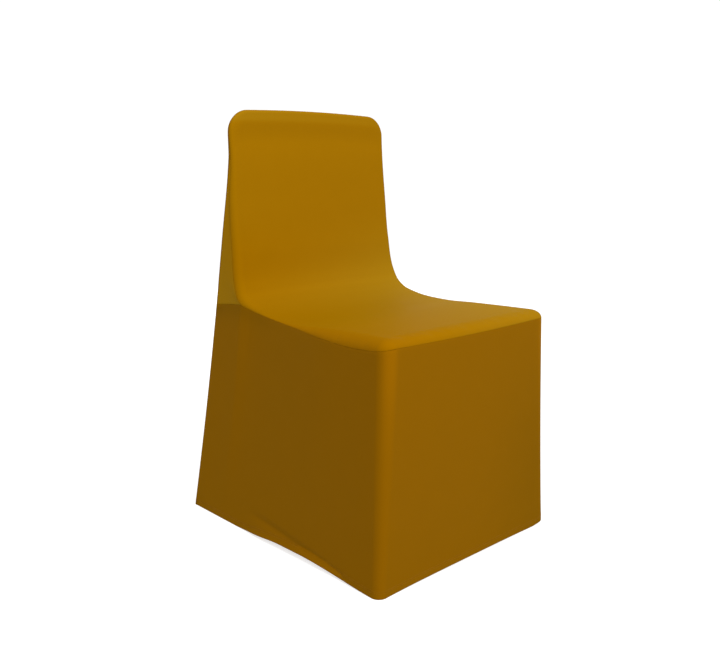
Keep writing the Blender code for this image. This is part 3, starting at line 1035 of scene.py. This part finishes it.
@dataclass
class Skirt:
    """One wrap of cloth for the left side, the front and the right side, down to the floor."""

    form: CoverForm
    material: bpy.types.Material
    name: str = "skirt_knit"
    flat: tuple = (1.600, 0.483)
    area: float = 0.691
    floor_front_y: float = -286 * MM
    floor_front_half: float = 239.5 * MM
    floor_rear_half: float = 251.3 * MM
    floor_corner: float = 18 * MM
    waist: float = 0.07
    lift_side: float = 11.5 * MM
    lift_start_y: float = 130 * MM
    lift_rear_y: float = -20 * MM
    lift_front_y: float = -75 * MM
    lift_end_y: float = -282 * MM
    lift_front: float = 2.5 * MM
    lift_corner: float = 5 * MM
    corner_reach: float = 24 * MM
    lift_height: float = 70 * MM
    hem_clearance: float = 0.3 * MM
    crease_rear_y: float = 110 * MM
    crease_front_y: float = -235 * MM
    crease_rear_height: float = 45 * MM
    crease_front_height: float = 7 * MM
    crease_depth: float = 2.5 * MM
    crease_width: float = 7.5 * MM
    fade_front: float = 3.5
    fade_rear: float = 4.0
    hem_kick: float = 0.18
    step: float = 5 * MM
    corner_count: int = 12
    hem_steps: tuple = (46, 42.5, 39, 36, 33, 30, 27, 24, 21, 18, 14.5, 11, 7.5, 4.5, 2.2, 0.8, 0)
    rear_blend: float = 60 * MM
    # Painted highlight band down each front corner
    band_place: float = 13 * MM
    band_width: float = 6 * MM
    band_length: float = 110 * MM
    # Painted shade below the seam near the rear corners and low on the right of the front
    seam_shade_reach: float = 28 * MM
    low_shade_length: float = 300 * MM
    front_reach: float = 60 * MM
    nub: float = 2.2 * MM
    nub_width: float = 9 * MM
    nub_place: float = 3 * MM
    nub_height: float = 5 * MM
    corner_share: float = 0.3
    edge_places: tuple = (0, 0.008, 0.03)
    web_steps: int = 22
    seam_share: float = 0.998
    usual_height: float = 390 * MM
    side_weight: float = 0.7
    front_weight: float = 1.3
    # Strengths of the painted highlight band and of the painted shade
    band_low: float = 0.35
    seam_shade_strength: float = 0.7
    right_front_shade_strength: float = 0.5
    side_share: float = 0.14
    gather_share: float = 0.9
    rear_share: float = 0.12
    left_x: float = -200 * MM

    def top_edge(self) -> tuple:
        """Seam line round the top of the skirt, from the right rear corner to the middle.

        Returns:
            The points, the way in at each one, the number of points on the side, and the angles
            round the front corner.
        """
        form, front = self.form, self.form.front
        corner = front.length - form.rim_corner
        rear_corner = form.rear_edge_at(np.array([form.web_rear_z]))
        web_end = form.front_face(front.at("half", form.web_foot), np.asarray(form.web_foot))[None]
        edge = np.asarray(self.edge_places)
        t = np.concatenate([edge[:-1], np.linspace(edge[-1], 1, self.web_steps)])[:, None]
        web_run = rear_corner + (web_end - rear_corner) * t
        s = spaced(form.web_foot, corner, self.step)[1:]
        side = form.front_face(front.at("half", s), s)
        turn = np.linspace(0, math.pi / 2, self.corner_count + 1)[1:]
        s = corner + form.rim_corner * np.sin(turn)
        bend = form.front_face(front.at("half", s) - form.rim_corner * (1 - np.cos(turn)), s)
        x = spaced(bend[-1, 0], 0, self.step)[1:]
        rim = form.front_face(x, np.full_like(x, front.length))
        edge = np.concatenate([web_run, side, bend, rim])
        side_count = len(web_run) + len(side)
        angle = np.concatenate([np.zeros(side_count), turn, np.full(len(x), math.pi / 2)])
        inside = np.stack([-np.cos(angle), np.sin(angle), 0 * angle], -1)
        return edge, inside, side_count, turn

    def floor_line(self, side_top: np.ndarray, turn: np.ndarray, rim_count: int) -> np.ndarray:
        """The skirt's outline on the floor, point for point below its upper edge.

        Args:
            side_top: The side's part of the upper edge.
            turn: Angles round the front corner.
            rim_count: Number of points along the front.

        Returns:
            The outline's x and y.
        """
        runs = np.linalg.norm(np.diff(side_top, axis=0), axis=1)
        share = np.concatenate([[0.0], np.cumsum(runs)]) / runs.sum()
        rear_y = self.form.rear_edge_at(np.array([0.0]))[0, 1]
        front_y = self.floor_front_y + self.floor_corner
        side_x = self.floor_rear_half + (self.floor_front_half - self.floor_rear_half) * share
        side = np.stack([side_x, rear_y + (front_y - rear_y) * share], -1)
        centre_x = self.floor_front_half - self.floor_corner
        bend = np.stack([centre_x + self.floor_corner * np.cos(turn),
                         front_y - self.floor_corner * np.sin(turn)], -1)
        x = centre_x * np.linspace(1, 0, rim_count + 1)[1:]
        return np.concatenate([side, bend, np.stack([x, np.full_like(x, self.floor_front_y)], -1)])

    def hem_lift(self, floor: np.ndarray, corner_start: int) -> np.ndarray:
        """Height of the hem above the floor.

        It eases up along the side and down to the foot, and on the front it is a little raised
        except towards the corners.
        """
        y = floor[:, 1]
        rise = smooth_step((self.lift_start_y - y) / (self.lift_start_y - self.lift_rear_y))
        fall = smooth_step((y - self.lift_end_y) / (self.lift_front_y - self.lift_end_y))
        side = self.lift_side * rise * fall
        front = self.lift_front * np.maximum(1 - (floor[:, 0] / floor[corner_start, 0]) ** 4, 0)
        return self.hem_clearance + np.where(np.arange(len(y)) >= corner_start, front, side)

    def kick(self, height: np.ndarray, y: np.ndarray) -> np.ndarray:
        """How far the side stands out at a height above its hem.

        A bell-shaped trough follows the slanting crease, which rises with the square of the way
        back, and the cloth below it leans out with the square of the way down. Both fade out
        towards the feet.
        """
        run = np.clip((y - self.crease_front_y) / (self.crease_rear_y - self.crease_front_y), 0, 1)
        climb = self.crease_rear_height - self.crease_front_height
        crease = self.crease_front_height + climb * run ** 2
        fade = smooth_step(self.fade_front * run) * smooth_step(self.fade_rear * (1 - run))
        trough = self.crease_depth * bell((height - crease) / self.crease_width)
        return (self.hem_kick * crease * np.clip(1 - height / crease, 0, 1) ** 2 - trough) * fade

    def grid(self) -> tuple:
        """Points of the outer face, and the way in at each one.

        Each column goes from the seam line to the floor's outline with a slight waist: the way
        across is the way down less a small half sine. The hem is drawn up at the right front
        corner, by a bell of the distance from it.
        """
        top, inside, side_count, turn = self.top_edge()
        floor = self.floor_line(top[:side_count], turn, len(top) - side_count - len(turn))
        lift = self.hem_lift(floor, side_count + len(turn) - 1)
        tall = top[:, 2] - lift
        above = tall - self.hem_steps[0] * MM
        share = joined([np.array([1.0, self.seam_share]),
                        spaced(self.seam_share, 0, self.step / self.usual_height)])[:, None]
        upper = lift + self.hem_steps[0] * MM + above * share
        lower = lift + np.asarray(self.hem_steps[1:])[:, None] * MM
        z = np.concatenate([upper, lower])
        t = (top[:, 2] - z) / tall
        flare = (t - self.waist * np.sin(math.pi * t))[..., None]
        plan = top[:, :2] + (floor - top[:, :2]) * flare
        side = np.arange(len(top)) < side_count
        plan[..., 0] += np.where(side, self.kick(z - lift, floor[:, 1]), 0)
        seam = self.form.rear_edge_at(z[:, 0])[:, None, :2] - plan[:, :1]
        run = np.concatenate([[0.0], np.cumsum(np.linalg.norm(np.diff(top, axis=0), axis=1))])
        plan += seam * (1 - smooth_step(run / self.rear_blend))[None, :, None]
        grid = both_halves(np.concatenate([plan, z[..., None]], -1))
        inset = self.corner_share * self.floor_corner
        corner = np.array([self.floor_front_half - inset, self.floor_front_y + inset])
        far = np.linalg.norm(grid[-1, :, :2] - corner, axis=-1)
        low = 1 - smooth_step((grid[..., 2] - grid[-1, :, 2]) / self.lift_height)
        grid[..., 2] += self.lift_corner * bell(far / self.corner_reach) * low
        ways = both_halves(np.broadcast_to(inside, grid[:, :len(top)].shape).copy())
        return grid, ways

    def build(self) -> bpy.types.Object:
        """Make the skirt.

        Returns:
            The skirt's object.
        """
        grid, ways = self.grid()
        sheet = Sheet(self.name, grid, ways, hem_row=len(grid) - HEM_ROWS,
                      relief=self.relief(grid), stretch=self.stretch(grid))
        return sheet.build(self.material)

    def stretch(self, grid: np.ndarray) -> np.ndarray:
        """Painted light and shade: a highlight band down each front corner, strongest at the top.

        It falls as a bell with a weighted sum of the distances in from the side and the front,
        which is least a little way round to the front. Below the seam near the rear corners, and
        low on the right half of the front, painted shade darkens the cloth.
        """
        _, _, top, _ = lengths_in(grid)
        x, y = np.abs(grid[..., 0]), grid[..., 1]
        side = x.max(axis=1, keepdims=True) - x
        front = y - y.min(axis=1, keepdims=True)
        inwards = self.side_weight * side + self.front_weight * front
        band = bell((inwards - self.band_place) / self.band_width)
        seam_shade = bell(top / self.seam_shade_reach) * smooth_step(y / self.lift_start_y)
        low = bell(front / self.front_reach) * smooth_step(top / self.low_shade_length)
        right_front_shade = smooth_step(grid[..., 0] / self.floor_front_half) * low
        strength = self.band_low + (1 - self.band_low) * bell(top / self.band_length)
        return band * strength - self.seam_shade_strength * seam_shade - self.right_front_shade_strength * right_front_shade

    def relief(self, grid: np.ndarray) -> np.ndarray:
        """Puckers below the seam line, gathered on the left near the front corner.

        A small swelling at each rear corner is where the three seam allowances lie on each other.
        """
        left, right, top, _ = lengths_in(grid)
        x, y = grid[..., 0], grid[..., 1]
        gather = self.side_share + self.gather_share * gathered(y) * (x < self.left_x)
        across = bell(np.minimum(left, right) / self.nub_width)
        nub = across * bell((top - self.nub_place) / self.nub_height)
        height = self.rear_share * PUCKER_HEIGHT
        return (pucker(top, left, PUCKER_HEIGHT, 0.9) * gather + pucker(left, top, height, 1.1)
                + pucker(right, top, height, 3.7) + self.nub * nub)

    def dress(self, piece: bpy.types.Object) -> None:
        dress_cloth(piece, "skirt")


@dataclass
class HemStitches:
    """Two rows of stitches from a twin needle, which hold the folded hem all round the foot."""

    sheets: tuple
    material: bpy.types.Material
    name: str = "hem_thread"
    rows: tuple = (1, 2)
    pitch: float = 3.6 * MM
    length: float = 2.8 * MM
    radius: float = 0.32 * MM
    proud: float = 0.1 * MM
    around: int = 6
    rings: int = 5
    blunt: float = 0.97

    def places(self, grid: np.ndarray, row: int) -> tuple:
        """Middle of each stitch on a row above the hem, with the way along and the way out.

        Args:
            grid: The panel's outer face.
            row: Number of grid rows below the top of the hem.

        Returns:
            The points, the unit vectors along the row and those out of the cloth.
        """
        out = unit(np.cross(np.gradient(grid, axis=0), np.gradient(grid, axis=1)))
        number = len(grid) - HEM_ROWS + row
        line, out = grid[number], out[number]
        run = np.concatenate([[0.0], np.cumsum(np.linalg.norm(np.diff(line, axis=0), axis=1))])
        at = np.arange(self.pitch, run[-1] - self.pitch / 2, self.pitch)
        middle = np.stack([np.interp(at, run, line[:, k]) for k in range(3)], -1)
        way = unit(np.stack([np.interp(at, run, np.gradient(line[:, k])) for k in range(3)], -1))
        return middle, way, unit(np.stack([np.interp(at, run, out[:, k]) for k in range(3)], -1))

    def build(self) -> bpy.types.Object:
        """Make the stitches: each is a small spindle that lies along the row.

        Its points are rings round the way along. The radius falls to both ends, as the root of 1
        less the fourth power of the way from the middle, so that they dip into the cloth.

        Returns:
            The stitches as one object.
        """
        parts = [self.places(grid, row) for grid in self.sheets for row in self.rows]
        middle, way, out = (np.concatenate(items)[:, None, None] for items in zip(*parts))
        middle = middle + out * self.proud
        across = np.cross(way, out)
        t = np.linspace(-self.blunt, self.blunt, self.rings)[None, :, None, None]
        angle = np.linspace(0, 2 * math.pi, self.around, endpoint=False)[None, None, :, None]
        swell = self.radius * np.sqrt(1 - t ** 4)
        ring = out * np.cos(angle) + across * np.sin(angle)
        points = middle + way * t * self.length / 2 + ring * swell
        index = np.arange(points.shape[0] * self.rings * self.around).reshape(points.shape[:3])
        turned = np.roll(index, -1, axis=2)
        quads = np.stack([index[:, :-1], turned[:, :-1], turned[:, 1:], index[:, 1:]], -1)
        return mesh_object(self.name, points.reshape(-1, 3), quads.reshape(-1, 4), self.material)

    def dress(self, piece: bpy.types.Object) -> None:
        """Tie the stitches to the cover's one body."""
        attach(piece, "root")


def direction(azimuth: float, elevation: float) -> Vector:
    """Unit vector towards an azimuth, 0 at the front and rising to the right, and an elevation."""
    a, e = math.radians(azimuth), math.radians(elevation)
    return Vector((math.sin(a) * math.cos(e), -math.cos(a) * math.cos(e), math.sin(e)))


@dataclass(frozen=True)
class AreaLight:
    """Square soft light: its direction from the cover in degrees, distance, size and watts."""

    name: str
    azimuth: float
    elevation: float
    distance: float
    size: float
    power: float

    def build(self, aim_height: float) -> None:
        """Hang the light so that it faces the middle of the cover, at the aim height."""
        way = direction(self.azimuth, self.elevation)
        data = bpy.data.lights.new(self.name, "AREA")
        data.energy = self.power
        data.size = self.size
        lamp = bpy.data.objects.new(self.name, data)
        lamp.location = Vector((0, 0, aim_height)) + way * self.distance
        lamp.rotation_mode = "QUATERNION"
        lamp.rotation_quaternion = (-way).to_track_quat("-Z", "Y")
        bpy.context.scene.collection.objects.link(lamp)


@dataclass
class Studio:
    """Pale floor and sweep, two large soft lights, even soft fill and the camera."""

    camera_place: tuple = (-1.13546, -1.21749, 0.74418)
    camera_yaw: float = -42.4911
    camera_pitch: float = 11.7814
    camera_roll: float = 0.0471
    camera_lens: float = 41.585
    aim_height: float = 0.42
    key: AreaLight = AreaLight("key", azimuth=-19.0, elevation=44.0, distance=3.2, size=2.2,
                               power=88.0)
    back_light: AreaLight = AreaLight("back_light", azimuth=155.0, elevation=16.0, distance=3.2,
                                      size=2.2, power=30.0)
    fill: float = 0.56
    floor_radius: float = 9.0
    wall_height: float = 7.0
    wall_bend: float = 3.0
    bend_steps: int = 12
    round_steps: int = 96
    paper_glow: float = 0.72

    def build(self) -> None:
        """Make the floor, the lights, the world and the camera."""
        self.sweep()
        self.lights()
        self.camera()

    def sweep(self) -> None:
        """Round floor that curves up into a wall all round: a profile turned about the z axis."""
        turn = np.linspace(0, math.pi / 2, self.bend_steps + 1)
        bend = self.wall_bend
        radius = np.concatenate([[0.01, 3.0], self.floor_radius - bend + bend * np.sin(turn),
                                 [self.floor_radius]])
        height = np.concatenate([[0.0, 0.0], bend * (1 - np.cos(turn)), [self.wall_height]])
        angle = np.linspace(0, 2 * math.pi, self.round_steps, endpoint=False)
        grid = np.stack([radius[:, None] * np.cos(angle), radius[:, None] * np.sin(angle),
                         height[:, None] + 0 * angle], -1)
        rows, cols = grid.shape[:2]
        index = np.arange(rows * cols).reshape(rows, cols)
        across = np.roll(index, -1, axis=1)
        quads = np.stack([index[:-1], index[1:], across[1:], across[:-1]], -1).reshape(-1, 4)
        # Matt paper that glows a little, so that the floor stays as pale as in the photograph
        paper, _, _ = principled("matt_white_paper", {
            "Base Color": srgb("c4c4c4"), "Roughness": 0.9, "Specular IOR Level": 0.0,
            "Emission Color": (1, 1, 1, 1), "Emission Strength": self.paper_glow})
        floor = mesh_object("studio_floor", grid.reshape(-1, 3), quads, paper)
        floor.visible_diffuse = False
        floor.visible_shadow = False

    def lights(self) -> None:
        """One large key from the front left, a low one behind, and a plain world as fill."""
        for light in (self.key, self.back_light):
            light.build(self.aim_height)
        world = bpy.data.worlds.new("soft_fill")
        world.use_nodes = True
        world.node_tree.nodes["Background"].inputs["Color"].default_value = (1, 1, 1, 1)
        world.node_tree.nodes["Background"].inputs["Strength"].default_value = self.fill
        bpy.context.scene.world = world

    def camera(self) -> None:
        """Camera at the photograph's angle, from its yaw, pitch and roll."""
        back = direction(self.camera_yaw, self.camera_pitch)
        right = (-back).cross(Vector((0, 0, 1))).normalized()
        up = back.cross(right)
        r = math.radians(self.camera_roll)
        across = right * math.cos(r) + up * math.sin(r)
        upright = up * math.cos(r) - right * math.sin(r)
        data = bpy.data.cameras.new("photo_camera")
        data.lens = self.camera_lens
        data.sensor_width = 36.0
        data.clip_start, data.clip_end = 0.05, 60.0
        camera = bpy.data.objects.new("photo_camera", data)
        turn = Matrix((across, upright, back)).transposed().to_4x4()
        camera.matrix_world = Matrix.Translation(self.camera_place) @ turn
        bpy.context.scene.collection.objects.link(camera)
        bpy.context.scene.camera = camera


def main() -> None:
    """Build the studio and the cover's panels in order."""
    logging.basicConfig(level=logging.INFO, format="%(name)s: %(message)s")
    bpy.context.scene.view_settings.view_transform = "Standard"
    Studio().build()
    form = CoverForm()
    # Lit and shaded copies of one knit: the upper panels' copy is painted lighter and the lower
    # panels' copy darker, for the light from above
    lit_knit = StretchKnit("lit_upper_knit", "9a6a03", "976802", painted_light_colour="9e740d").material()
    shaded_knit = StretchKnit("shaded_lower_knit", "8a5a02", "875802", painted_light_colour="956002").material()
    rear = RearPanel(form, shaded_knit)
    skirt = Skirt(form, shaded_knit)
    stitches = HemStitches((rear.grid()[0], skirt.grid()[0]), SewingThread().material())
    webs = [Web(form, side, lit_knit) for side in Side]
    parts = [SeatBackPanel(form, lit_knit), rear, *webs, skirt, stitches]
    for part in parts:
        piece = part.build()
        part.dress(piece)
        LOG.info("%s: %d points", piece.name, len(piece.data.vertices))


if __name__ == "__main__":
    main()
